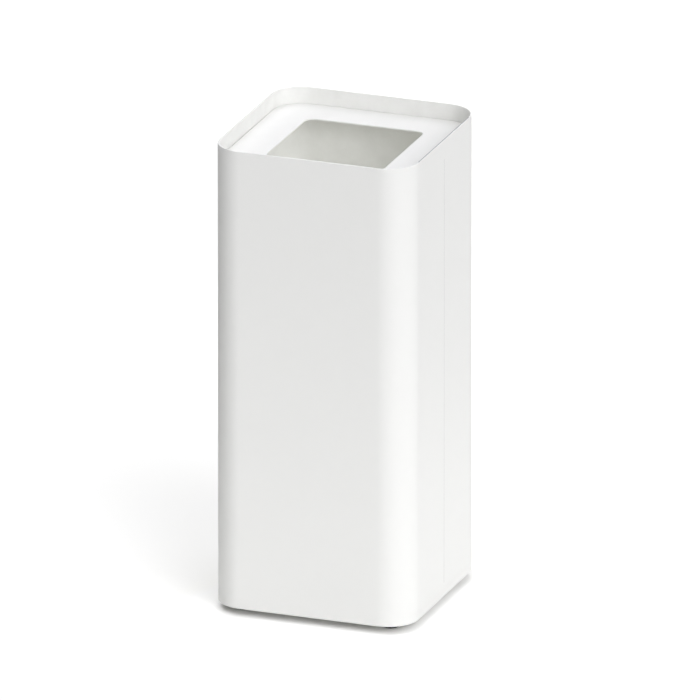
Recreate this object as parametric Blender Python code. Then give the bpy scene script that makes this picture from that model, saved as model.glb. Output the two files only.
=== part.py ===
"""Square sheet-steel umbrella stand: a tall open column with a recessed lift-out cover,
a lift-out drip tray and four screw-in levelling feet.

Metres, +Z up. The origin is on the floor under the middle of the stand, -Y is the front,
and the closing seam of the sheet is in the middle of the +X wall.
"""

import math

import bmesh
import bpy
from mathutils import Vector

# Column
BODY_WIDTH = 0.260
BODY_DEPTH = 0.260
BODY_HEIGHT = 0.594
FLOOR_GAP = 0.010
CORNER_RADIUS = 0.040
WALL = 0.002
RIM_ROUNDING = 0.0004
FIT_GAP = 0.0003

# Closing seam in the +X wall, welded flush at both ends, with a strip behind it
SEAM_WIDTH = 0.0005
SEAM_TOP_WELD = 0.025
SEAM_BOTTOM_WELD = 0.018
STRAP_WIDTH = 0.030
STRAP_THICKNESS = 0.0012

# Cover and what it rests on
COVER_RECESS = 0.021
COVER_THICKNESS = 0.002
COVER_CLEARANCE = 0.00075
OPENING_WIDTH = 0.154
OPENING_DEPTH = 0.154
OPENING_RADIUS = 0.012
LEDGE_LENGTH = 0.040
LEDGE_REACH = 0.010
LEDGE_LEG = 0.013
LEDGE_SHEET = 0.0015
LEDGE_BEND = 0.0015
BUFFER_LENGTH = 0.024
BUFFER_WIDTH = 0.007
BUFFER_THICKNESS = 0.0015

# Base pan, welded in with its flanges down
PAN_RISE = 0.022
PAN_SHEET = 0.0015
PAN_BEND = 0.0025
PAN_EDGE_UP = 0.003

# Drip tray
TRAY_SIDE_CLEARANCE = 0.0018
TRAY_HEIGHT = 0.040
TRAY_WALL = 0.002
TRAY_FLOOR = 0.0025
TRAY_ROUNDING = 0.002
TRAY_DRAFT = 0.002
TRAY_CORNER_RADIUS = 0.030
TRAY_LIP = 0.002

# Levelling feet
FOOT_INSET = 0.0345
FOOT_RADIUS = 0.011
FOOT_PAD_HEIGHT = 0.007
FOOT_CHAMFER = 0.0012
FOOT_SOCKET_DEPTH = 0.004
STUD_HEAD_RADIUS = 0.0042
STUD_RADIUS = 0.0028
STUD_CLEARANCE = 0.0004
STUD_TOP_BELOW_PAN_TOP = 0.0005
COLLAR_ACROSS_FLATS = 0.010
COLLAR_HEIGHT = 0.004
NUT_ACROSS_FLATS = 0.011
NUT_HEIGHT = 0.012
SMALL_CHAMFER = 0.0005

# Facets
CORNER_STEPS = 14
SMALL_CORNER_STEPS = 6
ROUND_STEPS = 24

# Levels that follow from the sizes above
BODY_TOP = FLOOR_GAP + BODY_HEIGHT
COVER_TOP = BODY_TOP - COVER_RECESS
COVER_UNDERSIDE = COVER_TOP - COVER_THICKNESS
BUFFER_UNDERSIDE = COVER_UNDERSIDE - FIT_GAP - BUFFER_THICKNESS
LEDGE_TOP = BUFFER_UNDERSIDE - FIT_GAP
LEDGE_BOTTOM = LEDGE_TOP - LEDGE_LEG
PAN_TOP = FLOOR_GAP + PAN_RISE
PAN_BOTTOM = FLOOR_GAP + PAN_EDGE_UP
FOOT_X = BODY_WIDTH / 2 - FOOT_INSET
FOOT_Y = BODY_DEPTH / 2 - FOOT_INSET


# ---------- outlines ----------

def rounded_outline(width, depth, radius, steps):
    """Points round a rectangle with round corners, anticlockwise seen from above."""
    points = []
    for corner, (side_x, side_y) in enumerate(((1, 1), (-1, 1), (-1, -1), (1, -1))):
        centre_x = side_x * (width / 2 - radius)
        centre_y = side_y * (depth / 2 - radius)
        for step in range(steps + 1):
            angle = math.radians(90) * (corner + step / steps)
            points.append((centre_x + radius * math.cos(angle), centre_y + radius * math.sin(angle)))
    return points


def round_outline(radius):
    """Points round a circle."""
    turn = 2 * math.pi / ROUND_STEPS
    return [(radius * math.cos(turn * i), radius * math.sin(turn * i)) for i in range(ROUND_STEPS)]


def hexagon_outline(across_flats):
    """Points round a hexagon, as many as round_outline gives, with its corners among them."""
    points = []
    for i in range(ROUND_STEPS):
        angle = 2 * math.pi * i / ROUND_STEPS
        from_flat = (angle % math.radians(60)) - math.radians(30)
        reach = across_flats / 2 / math.cos(from_flat)
        points.append((reach * math.cos(angle), reach * math.sin(angle)))
    return points


def column_outline(inset, steps=CORNER_STEPS):
    """The column's outline moved inwards by inset, with corners that keep the same centres."""
    return rounded_outline(
        BODY_WIDTH - 2 * inset, BODY_DEPTH - 2 * inset, CORNER_RADIUS - inset, steps
    )


# ---------- solids ----------

def skin(name, outlines, ring):
    """A mesh over a stack of (outline, height) with equal point counts.

    A ring joins the last outline back to the first one. Any other stack is capped at both ends.
    """
    shape = bmesh.new()
    loops = [[shape.verts.new((x, y, z)) for x, y in outline] for outline, z in outlines]
    pairs = list(zip(loops, loops[1:]))
    if ring:
        pairs.append((loops[-1], loops[0]))
    for lower, upper in pairs:
        for i in range(len(lower)):
            j = (i + 1) % len(lower)
            shape.faces.new((lower[i], lower[j], upper[j], upper[i]))
    if not ring:
        shape.faces.new(reversed(loops[0]))
        shape.faces.new(loops[-1])
    bmesh.ops.recalc_face_normals(shape, faces=shape.faces)
    mesh = bpy.data.meshes.new(name)
    shape.to_mesh(mesh)
    shape.free()
    return mesh


def box_mesh(name, size_x, size_y, size_z):
    """A mesh box with its middle at the origin."""
    shape = bmesh.new()
    bmesh.ops.create_cube(shape, size=1.0)
    bmesh.ops.scale(shape, vec=(size_x, size_y, size_z), verts=shape.verts)
    mesh = bpy.data.meshes.new(name)
    shape.to_mesh(mesh)
    shape.free()
    return mesh


def add_object(name, mesh, material, location=(0, 0, 0), turn=0.0, parent=None):
    """Puts a mesh into the scene as a named object with one material."""
    obj = bpy.data.objects.new(name, mesh)
    bpy.context.scene.collection.objects.link(obj)
    obj.location = location
    obj.rotation_euler.z = turn
    obj.parent = parent
    if material and not mesh.materials:
        mesh.materials.append(material)
        mesh.shade_smooth()
        mesh.set_sharp_from_angle(angle=math.radians(30))
    return obj


def add_axis(name, location):
    """An empty that stands on a joint's axis and carries what moves there."""
    axis = bpy.data.objects.new(name, None)
    bpy.context.scene.collection.objects.link(axis)
    axis.empty_display_size = 0.03
    axis.location = location
    return axis


def round_edges(obj, width, segments=1):
    """Takes off the object's sharp edges."""
    bevel = obj.modifiers.new("edge rounding", "BEVEL")
    bevel.width = width
    bevel.segments = segments
    bevel.limit_method = "ANGLE"
    bevel.angle_limit = math.radians(50)


def cut(obj, name, mesh, location):
    """Cuts a mesh's shape out of an object."""
    cutter = add_object(name, mesh, None, location)
    cutter.hide_render = True
    cutter.display_type = "WIRE"
    boolean = obj.modifiers.new(name, "BOOLEAN")
    boolean.operation = "DIFFERENCE"
    boolean.solver = "EXACT"
    boolean.object = cutter


def make_material(name, colour, roughness, metallic=0.0):
    """A Principled material of one colour."""
    material = bpy.data.materials.new(name)
    material.use_nodes = True
    shader = material.node_tree.nodes["Principled BSDF"]
    shader.inputs["Base Color"].default_value = (*colour, 1.0)
    shader.inputs["Roughness"].default_value = roughness
    shader.inputs["Metallic"].default_value = metallic
    return material


# ---------- column ----------

def build_column():
    """The wrapped sheet: one tube of four flat walls and round corners, with a hairline seam."""
    paint = make_material("white_powder_coat", (0.87, 0.87, 0.85), 0.45)
    outer = column_outline(0)
    inner = column_outline(WALL)
    mesh = skin(
        "outer_shell",
        [(outer, 0), (outer, BODY_HEIGHT), (inner, BODY_HEIGHT), (inner, 0)],
        ring=True,
    )
    shell = add_object("outer_shell", mesh, paint, (0, 0, FLOOR_GAP))
    round_edges(shell, RIM_ROUNDING)
    seam_length = BODY_HEIGHT - SEAM_TOP_WELD - SEAM_BOTTOM_WELD
    seam_middle = FLOOR_GAP + SEAM_BOTTOM_WELD + seam_length / 2
    seam = box_mesh("seam_cutter", 3 * WALL, SEAM_WIDTH, seam_length)
    cut(shell, "seam_cutter", seam, (BODY_WIDTH / 2 - WALL / 2, 0, seam_middle))


def build_seam_strap():
    """The strip behind the seam, from the base pan up to the cover's ledge."""
    paint = make_material("strap_powder_coat", (0.83, 0.83, 0.81), 0.5)
    low = PAN_TOP + FIT_GAP
    high = LEDGE_BOTTOM - FIT_GAP
    mesh = box_mesh("seam_strap", STRAP_THICKNESS, STRAP_WIDTH, high - low)
    x = BODY_WIDTH / 2 - WALL - FIT_GAP - STRAP_THICKNESS / 2
    strap = add_object("seam_strap", mesh, paint, (x, 0, (low + high) / 2))
    round_edges(strap, FIT_GAP)


# ---------- base ----------

def foot_places():
    """(name, x, y) of the four feet."""
    for y_name, y in (("front", -FOOT_Y), ("back", FOOT_Y)):
        for x_name, x in (("left", -FOOT_X), ("right", FOOT_X)):
            yield f"{y_name}_{x_name}", x, y


def build_base_pan():
    """The floor of the column: a flat plate with flanges turned down inside the walls."""
    paint = make_material("pan_powder_coat", (0.82, 0.82, 0.80), 0.5)
    outside = WALL + FIT_GAP
    inside = outside + PAN_SHEET
    outlines = [
        (column_outline(outside + PAN_BEND), PAN_TOP),
        (column_outline(outside + PAN_BEND * (1 - math.sin(math.radians(45)))),
         PAN_TOP - PAN_BEND * (1 - math.cos(math.radians(45)))),
        (column_outline(outside), PAN_TOP - PAN_BEND),
        (column_outline(outside), PAN_BOTTOM),
        (column_outline(inside), PAN_BOTTOM),
        (column_outline(inside), PAN_TOP - PAN_BEND),
        (column_outline(outside + PAN_BEND), PAN_TOP - PAN_SHEET),
    ]
    mesh = skin("base_pan", outlines, ring=False)
    pan = add_object("base_pan", mesh, paint)
    hole = round_outline(STUD_RADIUS + STUD_CLEARANCE)
    for name, x, y in foot_places():
        hole_mesh = skin(f"stud_hole_{name}", [(hole, -PAN_RISE), (hole, PAN_RISE)], ring=False)
        cut(pan, f"stud_hole_{name}", hole_mesh, (x, y, PAN_TOP))


def build_weld_nuts():
    """The long hexagon nuts under the pan, one over each foot."""
    zinc = make_material("zinc_plated_steel", (0.62, 0.63, 0.64), 0.35, 1.0)
    hexagon = hexagon_outline(NUT_ACROSS_FLATS)
    small_hexagon = hexagon_outline(NUT_ACROSS_FLATS - 2 * SMALL_CHAMFER)
    bore = round_outline(STUD_RADIUS + STUD_CLEARANCE)
    outlines = [
        (small_hexagon, 0),
        (hexagon, SMALL_CHAMFER),
        (hexagon, NUT_HEIGHT),
        (bore, NUT_HEIGHT),
        (bore, 0),
    ]
    mesh = skin("weld_nut", outlines, ring=True)
    nut_bottom = PAN_TOP - PAN_SHEET - FIT_GAP - NUT_HEIGHT
    for name, x, y in foot_places():
        add_object(f"weld_nut_{name}", mesh, zinc, (x, y, nut_bottom))


def build_levelling_feet():
    """Black pads on the floor, each on a stud that screws up through its nut."""
    black = make_material("black_foot_plastic", (0.02, 0.02, 0.02), 0.55)
    steel = make_material("stud_zinc_steel", (0.60, 0.61, 0.62), 0.35, 1.0)
    socket_radius = STUD_HEAD_RADIUS + STUD_CLEARANCE
    pad_outlines = [
        (round_outline(FOOT_RADIUS - SMALL_CHAMFER), 0),
        (round_outline(FOOT_RADIUS), SMALL_CHAMFER),
        (round_outline(FOOT_RADIUS), FOOT_PAD_HEIGHT - FOOT_CHAMFER),
        (round_outline(FOOT_RADIUS - FOOT_CHAMFER), FOOT_PAD_HEIGHT),
        (round_outline(socket_radius), FOOT_PAD_HEIGHT),
        (round_outline(socket_radius), FOOT_PAD_HEIGHT - FOOT_SOCKET_DEPTH),
    ]
    pad_mesh = skin("foot_pad", pad_outlines, ring=False)
    head_bottom = FOOT_PAD_HEIGHT - FOOT_SOCKET_DEPTH + FIT_GAP
    collar_bottom = FOOT_PAD_HEIGHT + SMALL_CHAMFER
    collar_top = collar_bottom + COLLAR_HEIGHT
    stud_top = PAN_TOP - STUD_TOP_BELOW_PAN_TOP
    stud_outlines = [
        (round_outline(STUD_HEAD_RADIUS), head_bottom),
        (round_outline(STUD_HEAD_RADIUS), collar_bottom),
        (hexagon_outline(COLLAR_ACROSS_FLATS), collar_bottom),
        (hexagon_outline(COLLAR_ACROSS_FLATS), collar_top),
        (round_outline(STUD_RADIUS), collar_top),
        (round_outline(STUD_RADIUS), stud_top - SMALL_CHAMFER),
        (round_outline(STUD_RADIUS - SMALL_CHAMFER), stud_top),
    ]
    stud_mesh = skin("foot_stud", stud_outlines, ring=False)
    for name, x, y in foot_places():
        axis = add_axis(f"foot_axis_{name}", (x, y, 0))
        add_object(f"foot_pad_{name}", pad_mesh, black, parent=axis)
        add_object(f"foot_stud_{name}", stud_mesh, steel, parent=axis)


# ---------- drip tray ----------

def build_drip_tray():
    """A moulded tray that stands on the pan and passes up between the cover's ledges."""
    plastic = make_material("grey_tray_plastic", (0.32, 0.33, 0.33), 0.5)
    ledge_inner = WALL + FIT_GAP + LEDGE_REACH
    width = BODY_WIDTH - 2 * (ledge_inner + TRAY_SIDE_CLEARANCE)
    depth = BODY_DEPTH - 2 * (ledge_inner + TRAY_SIDE_CLEARANCE)

    def outline(inset):
        return rounded_outline(
            width - 2 * inset, depth - 2 * inset, TRAY_CORNER_RADIUS - inset, CORNER_STEPS
        )

    at_rim = TRAY_LIP
    at_floor = TRAY_LIP + TRAY_DRAFT
    outlines = [
        (outline(at_floor + TRAY_ROUNDING), 0),
        (outline(at_floor), TRAY_ROUNDING),
        (outline(at_rim), TRAY_HEIGHT - TRAY_LIP),
        (outline(0), TRAY_HEIGHT - TRAY_LIP),
        (outline(0), TRAY_HEIGHT),
        (outline(at_rim + TRAY_WALL), TRAY_HEIGHT),
        (outline(at_floor + TRAY_WALL), TRAY_FLOOR + TRAY_ROUNDING),
        (outline(at_floor + TRAY_WALL + TRAY_ROUNDING), TRAY_FLOOR),
    ]
    mesh = skin("drip_tray", outlines, ring=False)
    axis = add_axis("tray_lift_axis", (0, 0, PAN_TOP + FIT_GAP))
    add_object("drip_tray", mesh, plastic, parent=axis)


# ---------- cover ----------

def wall_places():
    """(name, turn, distance) of the middle of each wall's inner face, for a piece made for +X."""
    half_width = BODY_WIDTH / 2 - WALL
    half_depth = BODY_DEPTH / 2 - WALL
    yield "right", 0.0, half_width
    yield "back", math.radians(90), half_depth
    yield "left", math.radians(180), half_width
    yield "front", math.radians(270), half_depth


def place_on_wall(turn, distance, inwards, z):
    """The point at a distance inwards from the middle of a wall."""
    reach = distance - inwards
    return Vector((reach * math.cos(turn), reach * math.sin(turn), z))


def ledge_profile():
    """The bent angle's section, from the wall at x = 0 inwards, with its top at z = 0."""
    outer = LEDGE_BEND + LEDGE_SHEET
    steps = SMALL_CORNER_STEPS
    outer_bend = []
    inner_bend = []
    for step in range(steps + 1):
        angle = math.radians(90) * step / steps
        outer_bend.append((-outer + outer * math.cos(angle), -outer + outer * math.sin(angle)))
        inner_bend.append((-outer + LEDGE_BEND * math.cos(angle), -outer + LEDGE_BEND * math.sin(angle)))
    leg_end = [(-LEDGE_SHEET, -LEDGE_LEG), (0, -LEDGE_LEG)]
    shelf_end = [(-LEDGE_REACH, 0), (-LEDGE_REACH, -LEDGE_SHEET)]
    return leg_end + outer_bend + shelf_end + inner_bend[::-1]


def ledge_mesh():
    """The angle's section drawn out along Y."""
    shape = bmesh.new()
    section = [shape.verts.new((x, -LEDGE_LENGTH / 2, z)) for x, z in ledge_profile()]
    face = shape.faces.new(section)
    drawn = bmesh.ops.extrude_face_region(shape, geom=[face])
    ends = [item for item in drawn["geom"] if isinstance(item, bmesh.types.BMVert)]
    bmesh.ops.translate(shape, vec=(0, LEDGE_LENGTH, 0), verts=ends)
    bmesh.ops.recalc_face_normals(shape, faces=shape.faces)
    mesh = bpy.data.meshes.new("cover_ledge")
    shape.to_mesh(mesh)
    shape.free()
    return mesh


def build_cover_ledges():
    """A bent angle in the middle of each wall, with a rubber buffer on it."""
    paint = make_material("ledge_powder_coat", (0.82, 0.82, 0.80), 0.5)
    rubber = make_material("buffer_rubber", (0.03, 0.03, 0.03), 0.7)
    ledge = ledge_mesh()
    radius = BUFFER_WIDTH / 2 - SMALL_CHAMFER
    low = rounded_outline(BUFFER_WIDTH, BUFFER_LENGTH, radius, SMALL_CORNER_STEPS)
    top = rounded_outline(
        BUFFER_WIDTH - SMALL_CHAMFER, BUFFER_LENGTH - SMALL_CHAMFER,
        radius - SMALL_CHAMFER / 2, SMALL_CORNER_STEPS,
    )
    buffer = skin(
        "ledge_buffer",
        [(low, 0), (low, BUFFER_THICKNESS - SMALL_CHAMFER), (top, BUFFER_THICKNESS)],
        ring=False,
    )
    for name, turn, distance in wall_places():
        ledge_place = place_on_wall(turn, distance, FIT_GAP, LEDGE_TOP)
        add_object(f"cover_ledge_{name}", ledge, paint, ledge_place, turn)
        buffer_in = FIT_GAP + LEDGE_REACH - SMALL_CHAMFER - BUFFER_WIDTH / 2
        buffer_place = place_on_wall(turn, distance, buffer_in, BUFFER_UNDERSIDE)
        add_object(f"ledge_buffer_{name}", buffer, rubber, buffer_place, turn)


def build_cover():
    """The flat plate inside the rim, with a square opening that the umbrellas stand in."""
    paint = make_material("cover_powder_coat", (0.88, 0.88, 0.86), 0.45)
    edge = column_outline(WALL + COVER_CLEARANCE)
    opening = rounded_outline(OPENING_WIDTH, OPENING_DEPTH, OPENING_RADIUS, CORNER_STEPS)
    mesh = skin(
        "cover_plate",
        [(edge, 0), (edge, COVER_THICKNESS), (opening, COVER_THICKNESS), (opening, 0)],
        ring=True,
    )
    axis = add_axis("cover_lift_axis", (0, 0, COVER_UNDERSIDE))
    cover = add_object("cover_plate", mesh, paint, parent=axis)
    round_edges(cover, RIM_ROUNDING)


def main():
    for obj in list(bpy.data.objects):
        bpy.data.objects.remove(obj, do_unlink=True)
    build_column()
    build_seam_strap()
    build_base_pan()
    build_weld_nuts()
    build_levelling_feet()
    build_drip_tray()
    build_cover_ledges()
    build_cover()


main()
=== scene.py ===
"""Looks of the square sheet-steel umbrella stand: every piece is made again in fine mesh over
the fixed frame, with powder-coated, zinc-plated, rubber and moulded finishes.

Metres, +Z up, the origin on the floor under the middle of the stand.
"""
import math
import bmesh
import bpy
from mathutils import Matrix, Vector


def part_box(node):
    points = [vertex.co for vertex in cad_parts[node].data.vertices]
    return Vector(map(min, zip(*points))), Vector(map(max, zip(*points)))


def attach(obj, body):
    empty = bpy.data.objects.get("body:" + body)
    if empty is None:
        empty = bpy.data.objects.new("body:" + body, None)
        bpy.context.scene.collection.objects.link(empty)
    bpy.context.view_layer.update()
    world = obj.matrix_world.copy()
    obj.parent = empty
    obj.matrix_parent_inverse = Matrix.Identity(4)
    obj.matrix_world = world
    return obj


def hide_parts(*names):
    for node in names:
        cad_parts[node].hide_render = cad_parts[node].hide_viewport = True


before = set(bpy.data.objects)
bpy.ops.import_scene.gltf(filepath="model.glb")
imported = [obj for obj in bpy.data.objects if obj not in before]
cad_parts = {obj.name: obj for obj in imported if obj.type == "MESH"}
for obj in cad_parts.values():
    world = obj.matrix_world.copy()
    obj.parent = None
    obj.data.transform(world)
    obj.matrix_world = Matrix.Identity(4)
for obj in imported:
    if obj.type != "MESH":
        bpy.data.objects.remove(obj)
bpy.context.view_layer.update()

# Column, seam and the strip behind it
SHEET = 0.002
CORNER_RADIUS = 0.040
RIM_ROUNDING = 0.0004
SEAM_WIDTH = 0.0005
SEAM_EDGE = 0.0001
# The eased edge of the seam: share of the way out to the face, and how closed the gap still is
SEAM_EASE = ((0.45, 0.85), (0.8, 0.55), (1.0, 0.0))
SEAM_TOP_WELD = 0.025
SEAM_BOTTOM_WELD = 0.018
STRAP_ROUNDING = 0.0003
STRAP_MARK_SPACING = 0.034
MARK_RADIUS = 0.0026
MARK_DEPTH = 0.0002
MARK_STEPS = 24
# The dish of a weld mark: share of its radius, and height as a share of its depth
MARK_DISH = ((0.45, -1.0), (0.8, -0.75), (0.95, -0.35), (1.0, 0.0), (1.04, 0.6))

# Cover and ledges
OPENING_SIDE = 0.154
OPENING_RADIUS = 0.012
PLATE_ROUNDING = 0.0004
LEDGE_SHEET = 0.0015
LEDGE_BEND = 0.0015
LEDGE_ROUNDING = 0.0003
LEDGE_MARK_DROP = 0.62
BUFFER_ROUNDING = 0.0005
BUFFER_CORNER_SHARE = 0.85
BUFFER_GROOVES = 7
BUFFER_GROOVE_RADIUS = 0.0004
BUFFER_GROOVE_SPACING = 0.0028

# Base pan
PAN_SHEET = 0.0015
PAN_BEND = 0.0025
PAN_EDGE_ROUNDING = 0.0004
STUD_HOLE_RADIUS = 0.0032
HOLE_EDGE = 0.0003

# Drip tray
TRAY_WALL = 0.002
TRAY_FLOOR = 0.0025
TRAY_DRAFT = 0.002
TRAY_LIP = 0.002
TRAY_CORNER_RADIUS = 0.030
TRAY_FOOT_ROUNDING = 0.002
TRAY_LIP_ROUNDING = 0.0006
RIB_WIDTH = 0.003
RIB_HEIGHT = 0.0016
RIB_SPACING = 0.020
RIB_COUNT = 9
RIB_END = 0.018
RIB_CORNER_SHARE = 0.98

# Levelling feet: an M6 screw of 1 mm pitch in a moulded pad
THREAD_PITCH = 0.001
THREAD_ROOT = 0.00245
THREAD_CREST = 0.00297
THREAD_PLAY = 0.00006
THREAD_ROOT_SHARE = 0.84
THREAD_FLANK_SHARE = 0.70
STEPS_PER_PITCH = 12
NUT_LEAD_IN = 0.0004
HEAD_RADIUS = 0.0042
COLLAR_LIFT = 0.0005
COLLAR_HEIGHT = 0.004
COLLAR_ACROSS_FLATS = 0.010
TURNED_SHARE = 0.97
TURNED_STEPS = (0.0, 0.35, 0.7, 1.0)
STUD_EDGE = 0.0004
PAD_TOP_ROUNDING = 0.0012
PAD_FOOT_ROUNDING = 0.0006
PAD_PARTING_LINE = 0.00012
PAD_HOLLOW = 0.0005
PAD_HOLLOW_RIM = 0.0022
PAD_SOCKET_RADIUS = 0.0046
PAD_SOCKET_DEPTH = 0.004

# Facets, and the angles from which an edge is shaded hard or has its corner taken off
CORNER_STEPS = 28
EDGE_STEPS = 4
BEND_STEPS = 8
ROUND_STEPS = 48
BEVEL_STEPS = 3
HARD_ANGLE = math.radians(40)
BEVEL_ANGLE = math.radians(50)
FLAT_FACE_WEIGHT = 100

# Relief of the finishes, and how strongly it shows
PEEL_RELIEF = 0.00003
INSIDE_PEEL_RELIEF = 0.00004
SEAM_PEEL_RELIEF = 0.00002
PEEL_STRENGTH = 0.5
SPANGLE_RELIEF = 0.00001
SPANGLE_STRENGTH = 0.4
MOULD_RELIEF = 0.00003
MOULD_STRENGTH = 0.6

# Colours, each with the one it shades to where the surface is marked
WHITE = (0.870, 0.872, 0.836)
WHITE_SHADE = (0.860, 0.862, 0.826)
# The cover: the same white coat made a little darker, painted shade that holds back the light on its
# upward face
PLATE_SHADED_WHITE = (0.832, 0.834, 0.802)
# Inward faces: the same white coat made darker and yellower, painted shade with the tint of bounce
# light inside the column
INSIDE_SHADED_WHITE = (0.755, 0.757, 0.718)
# The seam's eased edges: a grey that paints the shade in the hairline
SEAM_SHADE_GREY = (0.40, 0.40, 0.40)
SEAM_SHADE_PALE = (0.48, 0.48, 0.48)
ZINC_CLOUDED = (0.52, 0.53, 0.54)
ZINC_BRIGHT = (0.72, 0.72, 0.70)
FOOT_BLACK = (0.012, 0.012, 0.012)
FOOT_WORN = (0.022, 0.022, 0.022)
RUBBER_BLACK = (0.018, 0.018, 0.018)
RUBBER_WORN = (0.03, 0.03, 0.03)
TRAY_GREY = (0.30, 0.31, 0.31)
TRAY_PALE = (0.34, 0.345, 0.345)

FEET = ("front_left", "front_right", "back_left", "back_right")
WALLS = ("right", "back", "left", "front")
# The shell's coats: the white outside, a darker white of painted shade on the inward faces, and a grey
# of painted shade on the seam's edges
SHELL_COATS = ("coat", "inside", "seam")


# ---------- shared shape tools ----------

def rounded_outline(width, depth, radius, steps=CORNER_STEPS):
    """Points round a rectangle with round corners, anticlockwise seen from above."""
    points = []
    for corner, (side_x, side_y) in enumerate(((1, 1), (-1, 1), (-1, -1), (1, -1))):
        centre_x = side_x * (width / 2 - radius)
        centre_y = side_y * (depth / 2 - radius)
        for step in range(steps + 1):
            angle = math.radians(90) * (corner + step / steps)
            points.append((centre_x + radius * math.cos(angle), centre_y + radius * math.sin(angle)))
    return points


def round_outline(radius, steps=ROUND_STEPS):
    """Points round a circle."""
    turn = 2 * math.pi / steps
    return [(radius * math.cos(turn * i), radius * math.sin(turn * i)) for i in range(steps)]


def hexagon_outline(across_flats, cap=None, steps=ROUND_STEPS):
    """Points round a hexagon, with its corners turned down to the radius cap."""
    points = []
    for i in range(steps):
        angle = 2 * math.pi * i / steps
        from_flat = (angle % math.radians(60)) - math.radians(30)
        reach = across_flats / 2 / math.cos(from_flat)
        if cap:
            reach = min(reach, cap)
        points.append((reach * math.cos(angle), reach * math.sin(angle)))
    return points


def quarter_round(steps=EDGE_STEPS):
    """(share along, share up) of the points of a quarter circle, from flat to upright."""
    turns = [math.radians(90) * step / steps for step in range(steps + 1)]
    return [(math.sin(turn), 1 - math.cos(turn)) for turn in turns]


def skin_faces(shape, outlines, ring):
    """Adds the faces over a stack of (outline, height), joined back to the start or capped."""
    loops = [[shape.verts.new((x, y, z)) for x, y in outline] for outline, z in outlines]
    pairs = list(zip(loops, loops[1:]))
    if ring:
        pairs.append((loops[-1], loops[0]))
    for lower, upper in pairs:
        for i in range(len(lower)):
            j = (i + 1) % len(lower)
            shape.faces.new((lower[i], lower[j], upper[j], upper[i]))
    if not ring:
        shape.faces.new(reversed(loops[0]))
        shape.faces.new(loops[-1])


def finish_mesh(name, shape):
    """Turns a bmesh into a mesh whose faces point out."""
    bmesh.ops.recalc_face_normals(shape, faces=shape.faces)
    mesh = bpy.data.meshes.new(name)
    shape.to_mesh(mesh)
    shape.free()
    mesh.shade_smooth()
    mesh.set_sharp_from_angle(angle=HARD_ANGLE)
    return mesh


def skin_mesh(name, outlines, ring=False):
    """A mesh stretched over a stack of (outline, height), closed at its ends or into a ring."""
    shape = bmesh.new()
    skin_faces(shape, outlines, ring)
    return finish_mesh(name, shape)


def drawn_mesh(name, section, length, rounding):
    """A section of (x, z) points drawn out along Y, with its sharp edges taken off."""
    shape = bmesh.new()
    face = shape.faces.new([shape.verts.new((x, -length / 2, z)) for x, z in section])
    drawn = bmesh.ops.extrude_face_region(shape, geom=[face])
    ends = [item for item in drawn["geom"] if isinstance(item, bmesh.types.BMVert)]
    bmesh.ops.translate(shape, vec=(0, length, 0), verts=ends)
    bmesh.ops.recalc_face_normals(shape, faces=shape.faces)
    sharp = [edge for edge in shape.edges if edge.calc_face_angle(0) > BEVEL_ANGLE]
    bmesh.ops.bevel(
        shape, geom=sharp, offset=rounding, segments=BEVEL_STEPS, affect="EDGES", profile=0.5
    )
    return finish_mesh(name, shape)


def copies(name, mesh, places):
    """One mesh that holds a copy of another one at each of the places."""
    shape = bmesh.new()
    for place_matrix in places:
        moved = mesh.copy()
        moved.transform(place_matrix)
        shape.from_mesh(moved)
        bpy.data.meshes.remove(moved)
    result = bpy.data.meshes.new(name)
    shape.to_mesh(result)
    shape.free()
    return result


def row_along_y(count, spacing, height=0.0):
    """Places in an even row along Y, the middle one over the origin. The count is odd."""
    half = count // 2
    return [Matrix.Translation((0, spacing * i, height)) for i in range(-half, half + 1)]


def worked(mesh, tool_mesh, operation="DIFFERENCE"):
    """The mesh after another one is cut from it, or joined to it."""
    blank = bpy.data.objects.new("blank", mesh)
    tool = bpy.data.objects.new("tool", tool_mesh)
    for item in (blank, tool):
        bpy.context.scene.collection.objects.link(item)
    boolean = blank.modifiers.new("work", "BOOLEAN")
    boolean.object = tool
    boolean.operation = operation
    boolean.solver = "EXACT"
    graph = bpy.context.evaluated_depsgraph_get()
    result = bpy.data.meshes.new_from_object(blank.evaluated_get(graph))
    result.name = mesh.name
    for item in (blank, tool):
        bpy.data.objects.remove(item)
    result.shade_smooth()
    result.set_sharp_from_angle(angle=HARD_ANGLE)
    return result


def middle(node):
    """The middle of a CAD node's box."""
    low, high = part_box(node)
    return (low + high) / 2


def size(node):
    """The three sizes of a CAD node's box."""
    low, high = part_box(node)
    return high - low


def place(name, mesh, material, body, node=None, at=(0, 0, 0), turn=0.0):
    """Puts a piece in place on its CAD body, standing for a CAD node where it has one."""
    piece = bpy.data.objects.new(name, mesh)
    bpy.context.scene.collection.objects.link(piece)
    piece.location = at
    piece.rotation_euler.z = turn
    if not mesh.materials:
        mesh.materials.append(material)
    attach(piece, body)
    if node:
        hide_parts(node)
    return piece


def keep_flats_flat(piece):
    """Gives the big flat faces the say over the shading at their rounded edges."""
    normals = piece.modifiers.new("flat faces lead", "WEIGHTED_NORMAL")
    normals.weight = FLAT_FACE_WEIGHT
    normals.keep_sharp = True


# ---------- finishes ----------

def new_group(name, inputs, outputs):
    """An empty shader node group with named sockets."""
    group = bpy.data.node_groups.new(name, "ShaderNodeTree")
    for socket, value in inputs.items():
        made = group.interface.new_socket(socket, in_out="INPUT", socket_type="NodeSocketFloat")
        made.default_value = value
    for socket, kind in outputs.items():
        group.interface.new_socket(socket, in_out="OUTPUT", socket_type=kind)
    given = group.nodes.new("NodeGroupInput")
    result = group.nodes.new("NodeGroupOutput")
    return group, given, result


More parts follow.
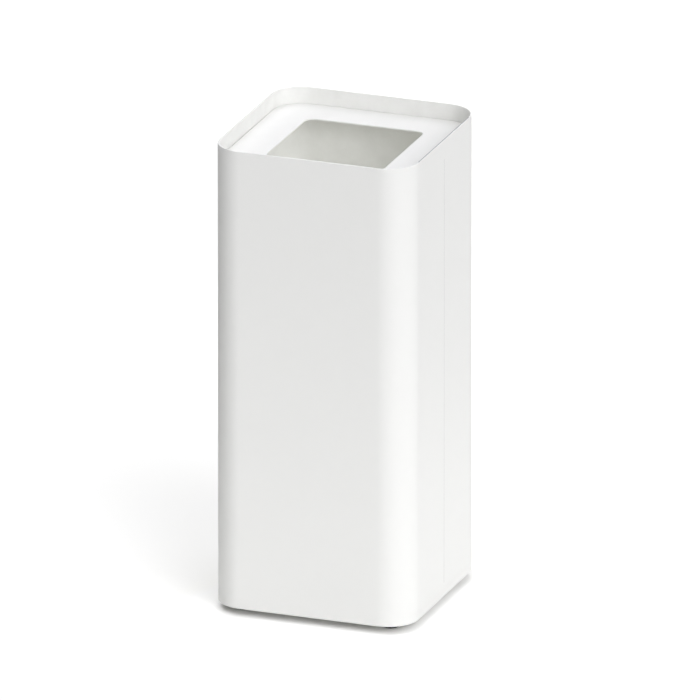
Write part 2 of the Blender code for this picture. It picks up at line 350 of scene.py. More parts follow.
def noise(tree, coordinates, scale, detail=2.0, roughness=0.5):
    """A noise texture on the given coordinates. Its scale is a number or a socket."""
    node = tree.nodes.new("ShaderNodeTexNoise")
    tree.links.new(coordinates, node.inputs["Vector"])
    if isinstance(scale, bpy.types.NodeSocket):
        tree.links.new(scale, node.inputs["Scale"])
    else:
        node.inputs["Scale"].default_value = scale
    node.inputs["Detail"].default_value = detail
    node.inputs["Roughness"].default_value = roughness
    return node.outputs["Fac"]


def combine(tree, operation, first, second):
    """A math node on two values, each a number or a socket."""
    node = tree.nodes.new("ShaderNodeMath")
    node.operation = operation
    for socket, value in zip(node.inputs, (first, second)):
        if isinstance(value, bpy.types.NodeSocket):
            tree.links.new(value, socket)
        else:
            socket.default_value = value
    return node.outputs["Value"]


def build_grain_group():
    """Two sizes of surface ripple added into one height, from 0 to about 1."""
    group, given, result = new_group(
        "surface_grain",
        {"Broad Scale": 400.0, "Fine Scale": 2500.0, "Fine Share": 0.3},
        {"Height": "NodeSocketFloat"},
    )
    where = group.nodes.new("ShaderNodeTexCoord").outputs["Object"]
    broad = noise(group, where, given.outputs["Broad Scale"], 1.0)
    fine = noise(group, where, given.outputs["Fine Scale"], 1.0)
    fine_part = combine(group, "MULTIPLY", fine, given.outputs["Fine Share"])
    height = combine(group, "ADD", broad, fine_part)
    group.links.new(height, result.inputs["Height"])
    return group


def build_handling_group():
    """Broad soft patches where the finish is a little duller or darker, from 0 to 1."""
    group, given, result = new_group(
        "handling_marks",
        {"Patch Scale": 9.0, "Streak Scale": 60.0},
        {"Dull": "NodeSocketFloat", "Specks": "NodeSocketFloat"},
    )
    where = group.nodes.new("ShaderNodeTexCoord").outputs["Object"]
    patches = noise(group, where, given.outputs["Patch Scale"], 4.0, 0.6)
    streaks = noise(group, where, given.outputs["Streak Scale"], 3.0, 0.65)
    dull = combine(group, "MULTIPLY", patches, streaks)
    group.links.new(dull, result.inputs["Dull"])
    group.links.new(streaks, result.inputs["Specks"])
    return group


def place_group(tree, group, values):
    """A node group in a material, with its own values on the group's inputs."""
    node = tree.nodes.new("ShaderNodeGroup")
    node.node_tree = group
    for name, value in values.items():
        node.inputs[name].default_value = value
    return node


def between(tree, factor, low, high):
    """A value that runs from low to high as the factor runs from 0 to 1."""
    node = tree.nodes.new("ShaderNodeMapRange")
    tree.links.new(factor, node.inputs["Value"])
    node.inputs["To Min"].default_value = low
    node.inputs["To Max"].default_value = high
    return node.outputs["Result"]


def colour_between(tree, factor, low, high):
    """A colour that runs from low to high as the factor runs from 0 to 1."""
    node = tree.nodes.new("ShaderNodeMix")
    node.data_type = "RGBA"
    tree.links.new(factor, node.inputs["Factor"])
    node.inputs["A"].default_value = (*low, 1)
    node.inputs["B"].default_value = (*high, 1)
    return node.outputs["Result"]


def raise_surface(tree, shader, height, depth, strength):
    """Feeds a height into the shader's normal. Depth is the relief in metres."""
    bump = tree.nodes.new("ShaderNodeBump")
    bump.inputs["Distance"].default_value = depth
    bump.inputs["Strength"].default_value = strength
    tree.links.new(height, bump.inputs["Height"])
    tree.links.new(bump.outputs["Normal"], shader.inputs["Normal"])


def shade_by_marks(tree, shader, marks, colour, shade, sheen):
    """Lets the handling marks vary the colour and the roughness a little."""
    tint = colour_between(tree, marks.outputs["Specks"], colour, shade)
    tree.links.new(tint, shader.inputs["Base Color"])
    roughness = between(tree, marks.outputs["Dull"], *sheen)
    tree.links.new(roughness, shader.inputs["Roughness"])


def new_finish(name, metallic=0.0):
    """A new material, its node tree and its main shader."""
    material = bpy.data.materials.new(name)
    material.use_nodes = True
    shader = material.node_tree.nodes["Principled BSDF"]
    shader.inputs["Metallic"].default_value = metallic
    return material, material.node_tree, shader


def powder_coat(name, grain, handling, colour, shade, sheen, relief=PEEL_RELIEF):
    """Satin powder coat: a fine orange peel, and a sheen that varies a little over the sheet."""
    material, tree, shader = new_finish(name)
    peel = place_group(tree, grain, {"Broad Scale": 420.0, "Fine Scale": 2600.0, "Fine Share": 0.25})
    marks = place_group(tree, handling, {"Patch Scale": 7.0, "Streak Scale": 45.0})
    shade_by_marks(tree, shader, marks, colour, shade, sheen)
    raise_surface(tree, shader, peel.outputs["Height"], relief, PEEL_STRENGTH)
    return material


def zinc_plate(name, grain, handling):
    """Bright zinc plating gone a little cloudy, over turned steel."""
    material, tree, shader = new_finish(name, metallic=1.0)
    spangle = place_group(tree, grain, {"Broad Scale": 900.0, "Fine Scale": 6000.0, "Fine Share": 0.5})
    marks = place_group(tree, handling, {"Patch Scale": 120.0, "Streak Scale": 700.0})
    shade_by_marks(tree, shader, marks, ZINC_CLOUDED, ZINC_BRIGHT, (0.22, 0.5))
    raise_surface(tree, shader, spangle.outputs["Height"], SPANGLE_RELIEF, SPANGLE_STRENGTH)
    return material


def moulded(name, grain, handling, colour, shade, sheen):
    """Moulded plastic or rubber with a fine spark-eroded grain."""
    material, tree, shader = new_finish(name)
    texture = place_group(tree, grain, {"Broad Scale": 1600.0, "Fine Scale": 7000.0, "Fine Share": 0.5})
    marks = place_group(tree, handling, {"Patch Scale": 25.0, "Streak Scale": 180.0})
    shade_by_marks(tree, shader, marks, colour, shade, sheen)
    raise_surface(tree, shader, texture.outputs["Height"], MOULD_RELIEF, MOULD_STRENGTH)
    return material


def build_finishes():
    """Every finish, by a short name. The last pair of each is its roughness, clean and marked."""
    grain = build_grain_group()
    handling = build_handling_group()
    return {
        "coat": powder_coat(
            "white_powder_coat", grain, handling, WHITE, WHITE_SHADE, (0.40, 0.52)
        ),
        # The cover: a darker copy of the white coat, painted shade against the light from above
        "plate": powder_coat(
            "plate_painted_shade_coat", grain, handling, PLATE_SHADED_WHITE, WHITE, (0.40, 0.52)
        ),
        # Inward faces: a darker, yellower copy of the white coat, painted shade inside the column
        "inside": powder_coat(
            "painted_shade_inside_coat", grain, handling, INSIDE_SHADED_WHITE, WHITE_SHADE, (0.45, 0.60),
            INSIDE_PEEL_RELIEF,
        ),
        # Seam edges: grey, painted shade in the hairline
        "seam": powder_coat(
            "painted_shade_in_seam", grain, handling, SEAM_SHADE_GREY, SEAM_SHADE_PALE, (0.6, 0.8),
            SEAM_PEEL_RELIEF,
        ),
        "zinc": zinc_plate("zinc_plated_steel", grain, handling),
        "foot": moulded(
            "black_foot_plastic", grain, handling, FOOT_BLACK, FOOT_WORN, (0.45, 0.65)
        ),
        "rubber": moulded(
            "black_buffer_rubber", grain, handling, RUBBER_BLACK, RUBBER_WORN, (0.65, 0.85)
        ),
        "tray": moulded(
            "grey_tray_plastic", grain, handling, TRAY_GREY, TRAY_PALE, (0.38, 0.55)
        ),
    }


# ---------- column ----------

def column_outline(inset, steps=CORNER_STEPS):
    """The shell's outline moved inwards by inset."""
    box = size("outer_shell")
    return rounded_outline(box.x - 2 * inset, box.y - 2 * inset, CORNER_RADIUS - inset, steps)


def sheet_edge(inner_inset, outer_inset, height, rounding, up):
    """(inset, height) round a sheet's cut edge, from its outer face over to its inner face."""
    side = 1 if up else -1
    points = []
    for along, rise in quarter_round():
        points.append((outer_inset + rounding * rise, height - side * rounding * (1 - along)))
    for along, rise in reversed(quarter_round()):
        points.append((inner_inset - rounding * rise, height - side * rounding * (1 - along)))
    return points


def build_shell(finish):
    """The wrapped sheet, with a rolled cut edge at both ends and the hairline of its seam."""
    low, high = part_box("outer_shell")
    top = sheet_edge(SHEET, 0, high.z, RIM_ROUNDING, up=True)
    bottom = sheet_edge(SHEET, 0, low.z, RIM_ROUNDING, up=False)
    path = top + bottom[::-1]
    outlines = [(column_outline(inset), z) for inset, z in path]
    mesh = skin_mesh("outer_shell_sheet", outlines, ring=True)
    mesh = worked(mesh, seam_cut(low.z + SEAM_BOTTOM_WELD, high.z - SEAM_TOP_WELD, high.x))
    for coat in SHELL_COATS:
        mesh.materials.append(finish[coat])
    for face in mesh.polygons:
        face.material_index = SHELL_COATS.index(shell_face_coat(face, high))
    shell = place("shell_sheet", mesh, finish["coat"], "root", "outer_shell")
    keep_flats_flat(shell)


def shell_face_coat(face, high):
    """The coat on a face of the shell: outside, inside in a darker white of painted shade, or grey with
    painted shade on the edges in the seam.
    """
    centre = face.center
    # The seam's edges take the grey of painted shade
    if abs(centre.y) < SEAM_WIDTH and centre.x > 0 and abs(face.normal.x) < 0.5:
        if high.x - SHEET < centre.x < high.x:
            return "seam"
    flat = Vector((centre.x, centre.y))
    corner = high.x - CORNER_RADIUS
    middle_line = Vector((
        max(-corner, min(corner, flat.x)), max(-corner, min(corner, flat.y)),
    ))
    # Inward faces take the darker white of painted shade
    facing_in = face.normal.xy.dot(flat - middle_line) < 0
    return "inside" if facing_in and abs(face.normal.z) < 0.5 else "coat"


def seam_cut(bottom, top, face_x):
    """The hairline where the sheet's two ends meet, wider at the outside where they are eased."""
    half = SEAM_WIDTH / 2
    section = [(face_x - 2 * SHEET, -half), (face_x - SEAM_EDGE, -half)]
    section += [
        (face_x - SEAM_EDGE * (1 - out), -half - SEAM_EDGE * (1 - closed))
        for out, closed in SEAM_EASE
    ]
    section.append((face_x + SHEET, -half - SEAM_EDGE))
    mirrored = [(x, -y) for x, y in reversed(section)]
    return skin_mesh("seam_cut", [(section + mirrored, bottom), (section + mirrored, top)])


def electrode_mark():
    """The shallow round dent that a spot weld leaves, pressed down along -Z."""
    return skin_mesh("electrode_mark", [
        (round_outline(MARK_RADIUS * out, MARK_STEPS), MARK_DEPTH * rise) for out, rise in MARK_DISH
    ])


def build_seam_strap(finish):
    """The backing strip, with a row of spot welds down each side of the seam."""
    low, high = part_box("seam_strap")
    length = high.z - low.z
    width = high.y - low.y
    thickness = high.x - low.x
    section = [(0, 0), (0, length), (thickness, length), (thickness, 0)]
    strip = drawn_mesh("seam_strap", section, width, STRAP_ROUNDING)
    facing_in = Matrix.Rotation(math.radians(-90), 4, "Y")
    marks = []
    count = round(length / STRAP_MARK_SPACING)
    for row in (-1, 1):
        for i in range(count):
            where = (0, row * width / 4, length * (i + 0.5) / count)
            marks.append(Matrix.Translation(where) @ facing_in)
    strip = worked(strip, copies("strap_marks", electrode_mark(), marks))
    # The strip takes the darker inside white, painted shade
    strap = place(
        "seam_strap_strip", strip, finish["inside"], "root", "seam_strap",
        at=(low.x, 0, low.z),
    )
    keep_flats_flat(strap)


# ---------- base ----------

def build_base_pan(finish):
    """The folded pan, with round bends and a reamed hole over each nut."""
    low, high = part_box("base_pan")
    outside = (size("outer_shell").x - size("base_pan").x) / 2
    inside = outside + PAN_SHEET
    outlines = []
    for along, rise in quarter_round(BEND_STEPS):
        outlines.append((outside + PAN_BEND * (1 - along), high.z - PAN_BEND * rise))
    outlines += flange_edge(low.z, PAN_EDGE_ROUNDING, outside, inside)
    bend_inside = PAN_BEND - PAN_SHEET
    for along, rise in reversed(quarter_round(BEND_STEPS)):
        outlines.append((inside + bend_inside * (1 - along), high.z - PAN_SHEET - bend_inside * rise))
    pan = skin_mesh("base_pan", [(column_outline(inset), z) for inset, z in outlines])
    hole = skin_mesh("stud_hole", [
        (round_outline(STUD_HOLE_RADIUS), high.z - 2 * PAN_SHEET),
        (round_outline(STUD_HOLE_RADIUS), high.z - HOLE_EDGE),
        (round_outline(STUD_HOLE_RADIUS + HOLE_EDGE), high.z),
        (round_outline(STUD_HOLE_RADIUS + HOLE_EDGE), high.z + PAN_SHEET),
    ])
    holes = [Matrix.Translation((*foot_place(name), 0)) for name in FEET]
    pan = worked(pan, copies("stud_holes", hole, holes))
    # The pan takes the darker inside white, painted shade
    piece = place("base_pan_sheet", pan, finish["inside"], "root", "base_pan")
    keep_flats_flat(piece)


def flange_edge(bottom, rounding, outer_inset, inner_inset):
    """(inset, height) round the lower cut edge of a flange, from outside to inside."""
    points = []
    for along, rise in reversed(quarter_round()):
        points.append((outer_inset + rounding * (1 - along), bottom + rounding * rise))
    for along, rise in quarter_round():
        points.append((inner_inset - rounding * (1 - along), bottom + rounding * rise))
    return points


def foot_place(name):
    """The middle of a foot on the floor."""
    centre = middle(f"foot_pad_{name}")
    return centre.x, centre.y


def thread_outline(root, crest, height, depth_share=1.0):
    """The outline of a right-hand thread at a height, with flat crests and roots."""
    points = []
    for i in range(ROUND_STEPS):
        turn = i / ROUND_STEPS
        from_crest = 2 * abs((height / THREAD_PITCH - turn) % 1.0 - 0.5)
        rise = min(1.0, max(0.0, (THREAD_ROOT_SHARE - from_crest) / THREAD_FLANK_SHARE))
        radius = root + (crest - root) * rise * depth_share
        angle = 2 * math.pi * turn
        points.append((radius * math.cos(angle), radius * math.sin(angle)))
    return points


def thread_heights(low, high):
    """Heights at even steps along a thread, both ends included."""
    count = math.ceil((high - low) / THREAD_PITCH * STEPS_PER_PITCH)
    return [low + (high - low) * i / count for i in range(count + 1)]


def turned_down_hexagon(across_flats, low, high):
    """Outlines of a hexagon bar whose corners are turned down to a cone at both ends."""
    corner = across_flats / 2 / math.cos(math.radians(30))
    flat = across_flats / 2
    drop = (corner - flat) * math.tan(math.radians(30))
    face = flat * TURNED_SHARE
    cone = [
        (hexagon_outline(across_flats, face + (corner - face) * share), drop * share)
        for share in TURNED_STEPS
    ]
    outlines = [(outline, low + rise) for outline, rise in cone]
    outlines += [(outline, high - rise) for outline, rise in reversed(cone)]
    return outlines


def build_weld_nuts(finish):
    """The long nuts, with turned-down corners and a thread that the stud's thread runs in."""
    low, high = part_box(f"weld_nut_{FEET[0]}")
    outlines = turned_down_hexagon(high.y - low.y, low.z, high.z)
    root = THREAD_ROOT + THREAD_PLAY
    crest = THREAD_CREST + THREAD_PLAY
    outlines.append((round_outline(crest + NUT_LEAD_IN), high.z))
    for z in reversed(thread_heights(low.z + NUT_LEAD_IN, high.z - NUT_LEAD_IN)):
        outlines.append((thread_outline(root, crest, z), z))
    outlines.append((round_outline(crest + NUT_LEAD_IN), low.z))
    nut = skin_mesh("weld_nut", outlines, ring=True)
    for name in FEET:
        place(
            f"weld_nut_hexagon_{name}", nut, finish["zinc"], "root",
            f"weld_nut_{name}", at=(*foot_place(name), 0),
        )


def build_foot_studs(finish):
    """The levelling screws: a disc held in the pad, a hexagon collar and a rolled thread."""
    low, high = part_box(f"foot_stud_{FEET[0]}")
    pad_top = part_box(f"foot_pad_{FEET[0]}")[1].z
    collar_low = pad_top + COLLAR_LIFT
    collar_high = collar_low + COLLAR_HEIGHT
    ease = STUD_EDGE
    outlines = [
        (round_outline(HEAD_RADIUS - ease), low.z),
        (round_outline(HEAD_RADIUS), low.z + ease),
        (round_outline(HEAD_RADIUS), collar_low),
    ]
    outlines += turned_down_hexagon(COLLAR_ACROSS_FLATS, collar_low, collar_high)
    outlines += [
        (round_outline(THREAD_ROOT + 2 * ease), collar_high),
        (round_outline(THREAD_ROOT), collar_high + 2 * ease),
    ]
    for z in thread_heights(collar_high + 3 * ease, high.z - THREAD_PITCH):
        run_in = min(1.0, (z - collar_high - 3 * ease) / THREAD_PITCH)
        outlines.append((thread_outline(THREAD_ROOT, THREAD_CREST, z, run_in), z))
    for z in thread_heights(high.z - THREAD_PITCH, high.z)[1:]:
        fade = (high.z - z) / THREAD_PITCH
        outlines.append((thread_outline(THREAD_ROOT - ease * (1 - fade), THREAD_CREST, z, fade), z))
    stud = skin_mesh("foot_stud", outlines)
    for name in FEET:
        place(
            f"foot_screw_{name}", stud, finish["zinc"], f"foot_{name}",
            f"foot_stud_{name}", at=(*foot_place(name), 0),
        )


def build_foot_pads(finish):
    """The moulded pads, hollowed a little underneath, with a fine parting line round the side."""
    low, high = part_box(f"foot_pad_{FEET[0]}")
    radius = (high.x - low.x) / 2
    height = high.z
    edge = PAD_TOP_ROUNDING
    line = PAD_PARTING_LINE
    profile = [(radius - PAD_HOLLOW_RIM, PAD_HOLLOW), (radius - PAD_HOLLOW_RIM + PAD_HOLLOW, 0)]
    for along, rise in quarter_round():
        profile.append((radius - PAD_FOOT_ROUNDING * (1 - along), PAD_FOOT_ROUNDING * rise))
    middle_z = height / 2
    profile += [
        (radius, middle_z - line), (radius - line, middle_z),
        (radius, middle_z + line), (radius - line, height - edge),
    ]
    for along, rise in reversed(quarter_round()):
        profile.append((radius - line - edge * (1 - along), height - edge * rise))
    profile += [
        (PAD_SOCKET_RADIUS + line, height), (PAD_SOCKET_RADIUS, height - line),
        (PAD_SOCKET_RADIUS, height - PAD_SOCKET_DEPTH),
    ]
    pad = skin_mesh("foot_pad", [(round_outline(r), z) for r, z in profile])
    for name in FEET:
        place(
            f"foot_disc_{name}", pad, finish["foot"], f"foot_{name}",
            f"foot_pad_{name}", at=(*foot_place(name), 0),
        )


# ---------- drip tray ----------

def build_drip_tray(finish):
    """The moulded tray, with a rolled lip and low ribs that keep the tips out of the water."""
    low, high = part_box("drip_tray")
    width = high.x - low.x
    depth = high.y - low.y

    def outline(inset):
        return rounded_outline(width - 2 * inset, depth - 2 * inset, TRAY_CORNER_RADIUS - inset)

    at_rim = TRAY_LIP
    at_floor = TRAY_LIP + TRAY_DRAFT
    foot = TRAY_FOOT_ROUNDING
    lip = TRAY_LIP_ROUNDING
    path = [(at_floor + foot * (1 - along), low.z + foot * rise) for along, rise in quarter_round()]
    path.append((at_rim, high.z - TRAY_LIP - lip))
    for along, rise in reversed(quarter_round()):
        path.append((at_rim - lip + lip * along, high.z - TRAY_LIP - lip * rise))
    path.append((lip, high.z - TRAY_LIP))
    for along, rise in quarter_round():
        path.append((lip * (1 - along), high.z - TRAY_LIP + lip * rise))
    for along, rise in reversed(quarter_round()):
        path.append((lip * (1 - along), high.z - lip * rise))
    inner_rim = at_rim + TRAY_WALL
    for along, rise in quarter_round():
        path.append((inner_rim - lip * (1 - along), high.z - lip * rise))
    inner_floor = at_floor + TRAY_WALL
    for along, rise in reversed(quarter_round(BEND_STEPS)):
        path.append((inner_floor + foot * (1 - along), low.z + TRAY_FLOOR + foot * rise))
    tray = skin_mesh("drip_tray", [(outline(inset), z) for inset, z in path])
    tray = worked(tray, tray_ribs(low.z + TRAY_FLOOR, width - 2 * RIB_END), "UNION")
    piece = place("drip_tray_body", tray, finish["tray"], "tray", "drip_tray")
    keep_flats_flat(piece)


def tray_ribs(floor, length):
    """Low ribs across the tray's floor, with round ends and drawn-in sides."""
    half = RIB_WIDTH / 2
    base = rounded_outline(length, RIB_WIDTH, half * RIB_CORNER_SHARE, EDGE_STEPS)
    top = rounded_outline(length - half, half, half / 2 * RIB_CORNER_SHARE, EDGE_STEPS)
    rib = skin_mesh("tray_rib", [
        (base, floor - TRAY_FLOOR / 2), (base, floor), (top, floor + RIB_HEIGHT),
    ])
    return copies("tray_ribs", rib, row_along_y(RIB_COUNT, RIB_SPACING))


# ---------- cover and its ledges ----------

def wall_turn(name):
    """How far a wall is turned round from the right one."""
    return math.radians(90) * WALLS.index(name)


def along_wall(node, turn):
    """The low and high corners of a node's box, turned back to the right wall."""
    low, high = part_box(node)
    back = Matrix.Rotation(-turn, 3, "Z")
    first = back @ low
    second = back @ high
    return (
        Vector((min(first.x, second.x), min(first.y, second.y), low.z)),
        Vector((max(first.x, second.x), max(first.y, second.y), high.z)),
    )


def ledge_section(reach, leg):
    """The bent angle's section, from the wall at x = 0 inwards, with its top at z = 0."""
    outer = LEDGE_BEND + LEDGE_SHEET
    section = [(-LEDGE_SHEET, -leg), (0, -leg)]
    section += [(-outer * rise, -outer * (1 - along)) for along, rise in quarter_round(BEND_STEPS)]
    section += [(-reach, 0), (-reach, -LEDGE_SHEET)]
    inner = [
        (-outer + LEDGE_BEND * (1 - rise), -outer + LEDGE_BEND * along)
        for along, rise in quarter_round(BEND_STEPS)
    ]
    return section + inner[::-1]


def build_cover_ledges(finish):
    """The bent angles that carry the cover, each held to the wall by two spot welds."""
    low, high = along_wall(f"cover_ledge_{WALLS[0]}", 0)
    ledge = drawn_mesh(
        "cover_ledge", ledge_section(high.x - low.x, high.z - low.z), high.y - low.y, LEDGE_ROUNDING
    )
    facing_in = Matrix.Rotation(math.radians(-90), 4, "Y")
    mark_height = -(high.z - low.z) * LEDGE_MARK_DROP
    marks = [
        Matrix.Translation((-LEDGE_SHEET, side * (high.y - low.y) / 4, mark_height)) @ facing_in
        for side in (-1, 1)
    ]
    ledge = worked(ledge, copies("ledge_marks", electrode_mark(), marks))
    for name in WALLS:
        turn = wall_turn(name)
        _, out = along_wall(f"cover_ledge_{name}", turn)
        at = Matrix.Rotation(turn, 3, "Z") @ Vector((out.x, 0, out.z))
        # The ledges take the darker inside white, painted shade
        piece = place(
            f"ledge_angle_{name}", ledge, finish["inside"], "root",
            f"cover_ledge_{name}", at=at, turn=turn,
        )
        keep_flats_flat(piece)


def build_ledge_buffers(finish):
    """Rubber strips on the ledges, grooved across so that the cover sits without a rattle."""
    low, high = along_wall(f"ledge_buffer_{WALLS[0]}", 0)
    width = high.x - low.x
    length = high.y - low.y
    thickness = high.z - low.z
    edge = BUFFER_ROUNDING
    path = [(0, 0)]
    for along, rise in reversed(quarter_round()):
        path.append((edge * (1 - along), thickness - edge * rise))
    radius = width / 2 * BUFFER_CORNER_SHARE
    strip = skin_mesh("ledge_buffer", [
        (rounded_outline(width - 2 * inset, length - 2 * inset, radius - inset, BEND_STEPS), z)
        for inset, z in path
    ])
    rows = row_along_y(BUFFER_GROOVES, BUFFER_GROOVE_SPACING, thickness)
    strip = worked(strip, copies("buffer_grooves", groove_bar(width), rows))
    for name in WALLS:
        turn = wall_turn(name)
        near, far = along_wall(f"ledge_buffer_{name}", turn)
        at = Matrix.Rotation(turn, 3, "Z") @ Vector(((near.x + far.x) / 2, 0, near.z))
        place(
            f"buffer_strip_{name}", strip, finish["rubber"], "root",
            f"ledge_buffer_{name}", at=at, turn=turn,
        )


def groove_bar(width):
    """A round bar that lies across a buffer and cuts its groove."""
    bar = skin_mesh("buffer_groove", [
        (round_outline(BUFFER_GROOVE_RADIUS, MARK_STEPS), -width),
        (round_outline(BUFFER_GROOVE_RADIUS, MARK_STEPS), width),
    ])
    bar.transform(Matrix.Rotation(math.radians(90), 4, "Y"))
    return bar


def build_cover(finish):
    """The flat cover plate, with a square opening and fine rounded edges."""
    low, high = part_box("cover_plate")
    width = high.x - low.x
    depth = high.y - low.y
    radius = CORNER_RADIUS - (size("outer_shell").x - width) / 2
    rounding = PLATE_ROUNDING
    edge = [
        (rounding * rise, low.z + rounding * (1 - along)) for along, rise in reversed(quarter_round())
    ]
    edge += [(rounding * rise, high.z - rounding * (1 - along)) for along, rise in quarter_round()]
    outlines = [
        (rounded_outline(width - 2 * inset, depth - 2 * inset, radius - inset), z)
        for inset, z in edge
    ]
    for inset, z in reversed(edge):
        side = OPENING_SIDE + 2 * inset
        outlines.append((rounded_outline(side, side, OPENING_RADIUS + inset), z))
    mesh = skin_mesh("cover_plate_sheet", outlines, ring=True)
    # The cover's white is darker than the column's, painted shade on its upward face
    cover = place("cover_sheet", mesh, finish["plate"], "cover", "cover_plate")
    keep_flats_flat(cover)


# ---------- stage ----------

# Camera
CAMERA_TURN = math.radians(20.26)
CAMERA_DROP = math.radians(19.51)
VIEW_WIDTH = 0.8593
AIM_HEIGHT = 0.3153
AIM_RIGHT = 0.0064
LENS_MM = 1500.0
SENSOR_MM = 36.0

# Floor: two whites that change over from the near to the far distance round a spot, with some
# light of its own far off, and a gain that only the camera sees and that falls off from the front,
# which paints a pool of light in front of the stand
FLOOR_RADIUS = 30.0
FLOOR_DEPTH = 0.02
FLOOR_STEPS = 96
FLOOR_ROUGHNESS = 0.9
FLOOR_BRIGHT_SPOT = (0.30, -0.20, 0.0)
FLOOR_NEAR = 0.45
FLOOR_FAR = 1.25
FLOOR_NEAR_WHITE = (0.82, 0.82, 0.785)
FLOOR_FAR_WHITE = (0.45, 0.45, 0.43)
FLOOR_NEAR_LIFT = 0.0
FLOOR_FAR_LIFT = 0.60
FRONT_SPOT = (0.20, -0.24, 0.0)
FRONT_SPOT_NEAR = 0.27
FRONT_SPOT_FAR = 0.43
FRONT_PAINTED_LIGHT_GAIN = 1.75
SIDE_PAINTED_LIGHT_GAIN = 1.22

# Softboxes: their rims and cores are cosines of the angle away from the middle of each
SOFTBOX_COLOUR = (1.0, 0.998, 1.045, 1.0)
SOFTBOX_EDGE = 0.90
SOFTBOX_CORE = 0.995
# Degrees round from the front towards the right, degrees up, and strength
SOFTBOXES = (
    (50, 15, 3.20),
    (15, 32, 1.12),
    (50, 32, 3.20),
    (120, 32, 1.50),
    (160, 32, 1.50),
    (-60, 60, 2.72),
    (200, 60, 2.95),
    (-150, 15, 0.65),
    (0, 90, 0.32),
)

# A faint glow all round the room, whole below one height and gone above the other (their sines)
ROOM_GLOW = 0.12
GLOW_TOP = 0.75
GLOW_FULL = 0.50

# The lamp inside the column
FILL_SIZE = 0.2
FILL_HEIGHT = 0.30
FILL_WATTS = 0.190


def build_camera():
    """A very long lens, so that upright edges stay parallel."""
    camera = bpy.data.cameras.new("studio_camera")
    camera.lens = LENS_MM
    camera.sensor_width = SENSOR_MM
    distance = VIEW_WIDTH * LENS_MM / SENSOR_MM
    camera.clip_end = 3 * distance
    right = Vector((math.cos(CAMERA_TURN), math.sin(CAMERA_TURN), 0))
    back = Vector((
        math.sin(CAMERA_TURN) * math.cos(CAMERA_DROP),
        -math.cos(CAMERA_TURN) * math.cos(CAMERA_DROP),
        math.sin(CAMERA_DROP),
    ))
    up = back.cross(right)
    stand = bpy.data.objects.new("studio_camera", camera)
    bpy.context.scene.collection.objects.link(stand)
    aim = Vector((0, 0, AIM_HEIGHT)) + AIM_RIGHT * right
    turn = Matrix((right, up, back)).transposed().to_4x4()
    stand.matrix_world = Matrix.Translation(aim + distance * back) @ turn
    bpy.context.scene.camera = stand


def distance_fade(tree, spot, near, far):
    """A value that runs smoothly from 0 near a spot on the floor to 1 far from it."""
    where = tree.nodes.new("ShaderNodeTexCoord").outputs["Object"]
    distance = tree.nodes.new("ShaderNodeVectorMath")
    distance.operation = "DISTANCE"
    tree.links.new(where, distance.inputs[0])
    distance.inputs[1].default_value = spot
    fade = tree.nodes.new("ShaderNodeMapRange")
    fade.interpolation_type = "SMOOTHSTEP"
    tree.links.new(distance.outputs["Value"], fade.inputs["Value"])
    fade.inputs["From Min"].default_value = near
    fade.inputs["From Max"].default_value = far
    return fade.outputs["Result"]


def build_floor():
    """A pale table top, brightest round the stand, with a painted pool of light in front, that fades
    into the white room.
    """
    table = round_outline(FLOOR_RADIUS, FLOOR_STEPS)
    mesh = skin_mesh("studio_floor", [(table, -FLOOR_DEPTH), (table, 0.0)])
    floor = bpy.data.objects.new("studio_floor", mesh)
    bpy.context.scene.collection.objects.link(floor)
    mesh.materials.append(floor_finish())


def floor_finish():
    """The floor's white, which changes with distance, with a painted pool of light in front that only
    the camera sees.
    """
    material, tree, shader = new_finish("white_sweep")
    seen = tree.nodes.new("ShaderNodeLightPath").outputs["Is Camera Ray"]
    away = distance_fade(tree, FLOOR_BRIGHT_SPOT, FLOOR_NEAR, FLOOR_FAR)
    colour = colour_between(tree, away, FLOOR_NEAR_WHITE, FLOOR_FAR_WHITE)
    from_front = distance_fade(tree, FRONT_SPOT, FRONT_SPOT_NEAR, FRONT_SPOT_FAR)
    # Painted light: the camera sees the floor brighter in front of the stand
    painted_light = between(tree, from_front, FRONT_PAINTED_LIGHT_GAIN - 1, SIDE_PAINTED_LIGHT_GAIN - 1)
    brighter = tree.nodes.new("ShaderNodeVectorMath")
    brighter.operation = "SCALE"
    tree.links.new(colour, brighter.inputs["Vector"])
    gain = combine(tree, "ADD", combine(tree, "MULTIPLY", painted_light, seen), 1.0)
    tree.links.new(gain, brighter.inputs["Scale"])
    tree.links.new(brighter.outputs["Vector"], shader.inputs["Base Color"])
    shader.inputs["Roughness"].default_value = FLOOR_ROUGHNESS
    shader.inputs["Specular IOR Level"].default_value = 0.0
    lift = between(tree, away, FLOOR_NEAR_LIFT, FLOOR_FAR_LIFT)
    shader.inputs["Emission Color"].default_value = (1, 1, 1, 1)
    tree.links.new(combine(tree, "MULTIPLY", lift, seen), shader.inputs["Emission Strength"])
    return material


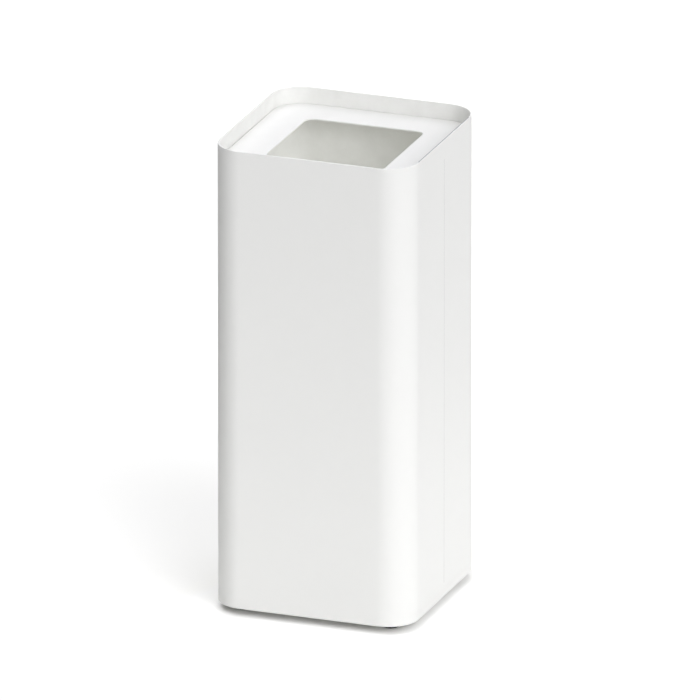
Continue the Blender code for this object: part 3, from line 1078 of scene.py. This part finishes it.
def add_glow(tree, direction, towards, edge, full, strength):
    """Light that fades in smoothly as the cosine to one direction runs from edge to full."""
    dot = tree.nodes.new("ShaderNodeVectorMath")
    dot.operation = "DOT_PRODUCT"
    tree.links.new(direction, dot.inputs[0])
    dot.inputs[1].default_value = towards
    fade = tree.nodes.new("ShaderNodeMapRange")
    fade.interpolation_type = "SMOOTHSTEP"
    tree.links.new(dot.outputs["Value"], fade.inputs["Value"])
    fade.inputs["From Min"].default_value = edge
    fade.inputs["From Max"].default_value = full
    fade.inputs["To Max"].default_value = strength
    return fade.outputs["Result"]


def add_softbox(tree, direction, turn, height, strength):
    """A round soft light in one part of the room."""
    turn = math.radians(turn)
    height = math.radians(height)
    towards = (
        math.sin(turn) * math.cos(height), -math.cos(turn) * math.cos(height), math.sin(height)
    )
    return add_glow(tree, direction, towards, SOFTBOX_EDGE, SOFTBOX_CORE, strength)


def build_room_light():
    """A white room lit by softboxes, most of them in front on the right, over a faint glow."""
    world = bpy.data.worlds.new("white_room")
    bpy.context.scene.world = world
    world.use_nodes = True
    tree = world.node_tree
    direction = tree.nodes.new("ShaderNodeTexCoord").outputs["Generated"]
    light = add_glow(tree, direction, (0, 0, 1), GLOW_TOP, GLOW_FULL, ROOM_GLOW)
    for turn, height, strength in SOFTBOXES:
        light = combine(tree, "ADD", light, add_softbox(tree, direction, turn, height, strength))
    background = tree.nodes["Background"]
    seen = tree.nodes.new("ShaderNodeLightPath").outputs["Is Camera Ray"]
    mixed = tree.nodes.new("ShaderNodeMix")
    tree.links.new(seen, mixed.inputs["Factor"])
    tree.links.new(light, mixed.inputs["A"])
    mixed.inputs["B"].default_value = 1.0
    background.inputs["Color"].default_value = SOFTBOX_COLOUR
    tree.links.new(mixed.outputs["Result"], background.inputs["Strength"])
    bpy.context.scene.view_settings.view_transform = "Standard"


def build_inner_light():
    """A weak upward lamp inside, for the light that passes down the white column and back up."""
    lamp = bpy.data.lights.new("column_fill", "AREA")
    lamp.shape = "SQUARE"
    lamp.size = FILL_SIZE
    lamp.energy = FILL_WATTS
    stand = bpy.data.objects.new("column_fill", lamp)
    bpy.context.scene.collection.objects.link(stand)
    stand.location = (0, 0, FILL_HEIGHT)
    stand.rotation_euler.x = math.radians(180)
    stand.visible_camera = False


build_camera()
finish = build_finishes()
for build in (
    build_shell, build_seam_strap, build_base_pan, build_weld_nuts, build_foot_studs,
    build_foot_pads, build_drip_tray, build_cover_ledges, build_ledge_buffers, build_cover,
):
    build(finish)
build_floor()
build_room_light()
build_inner_light()
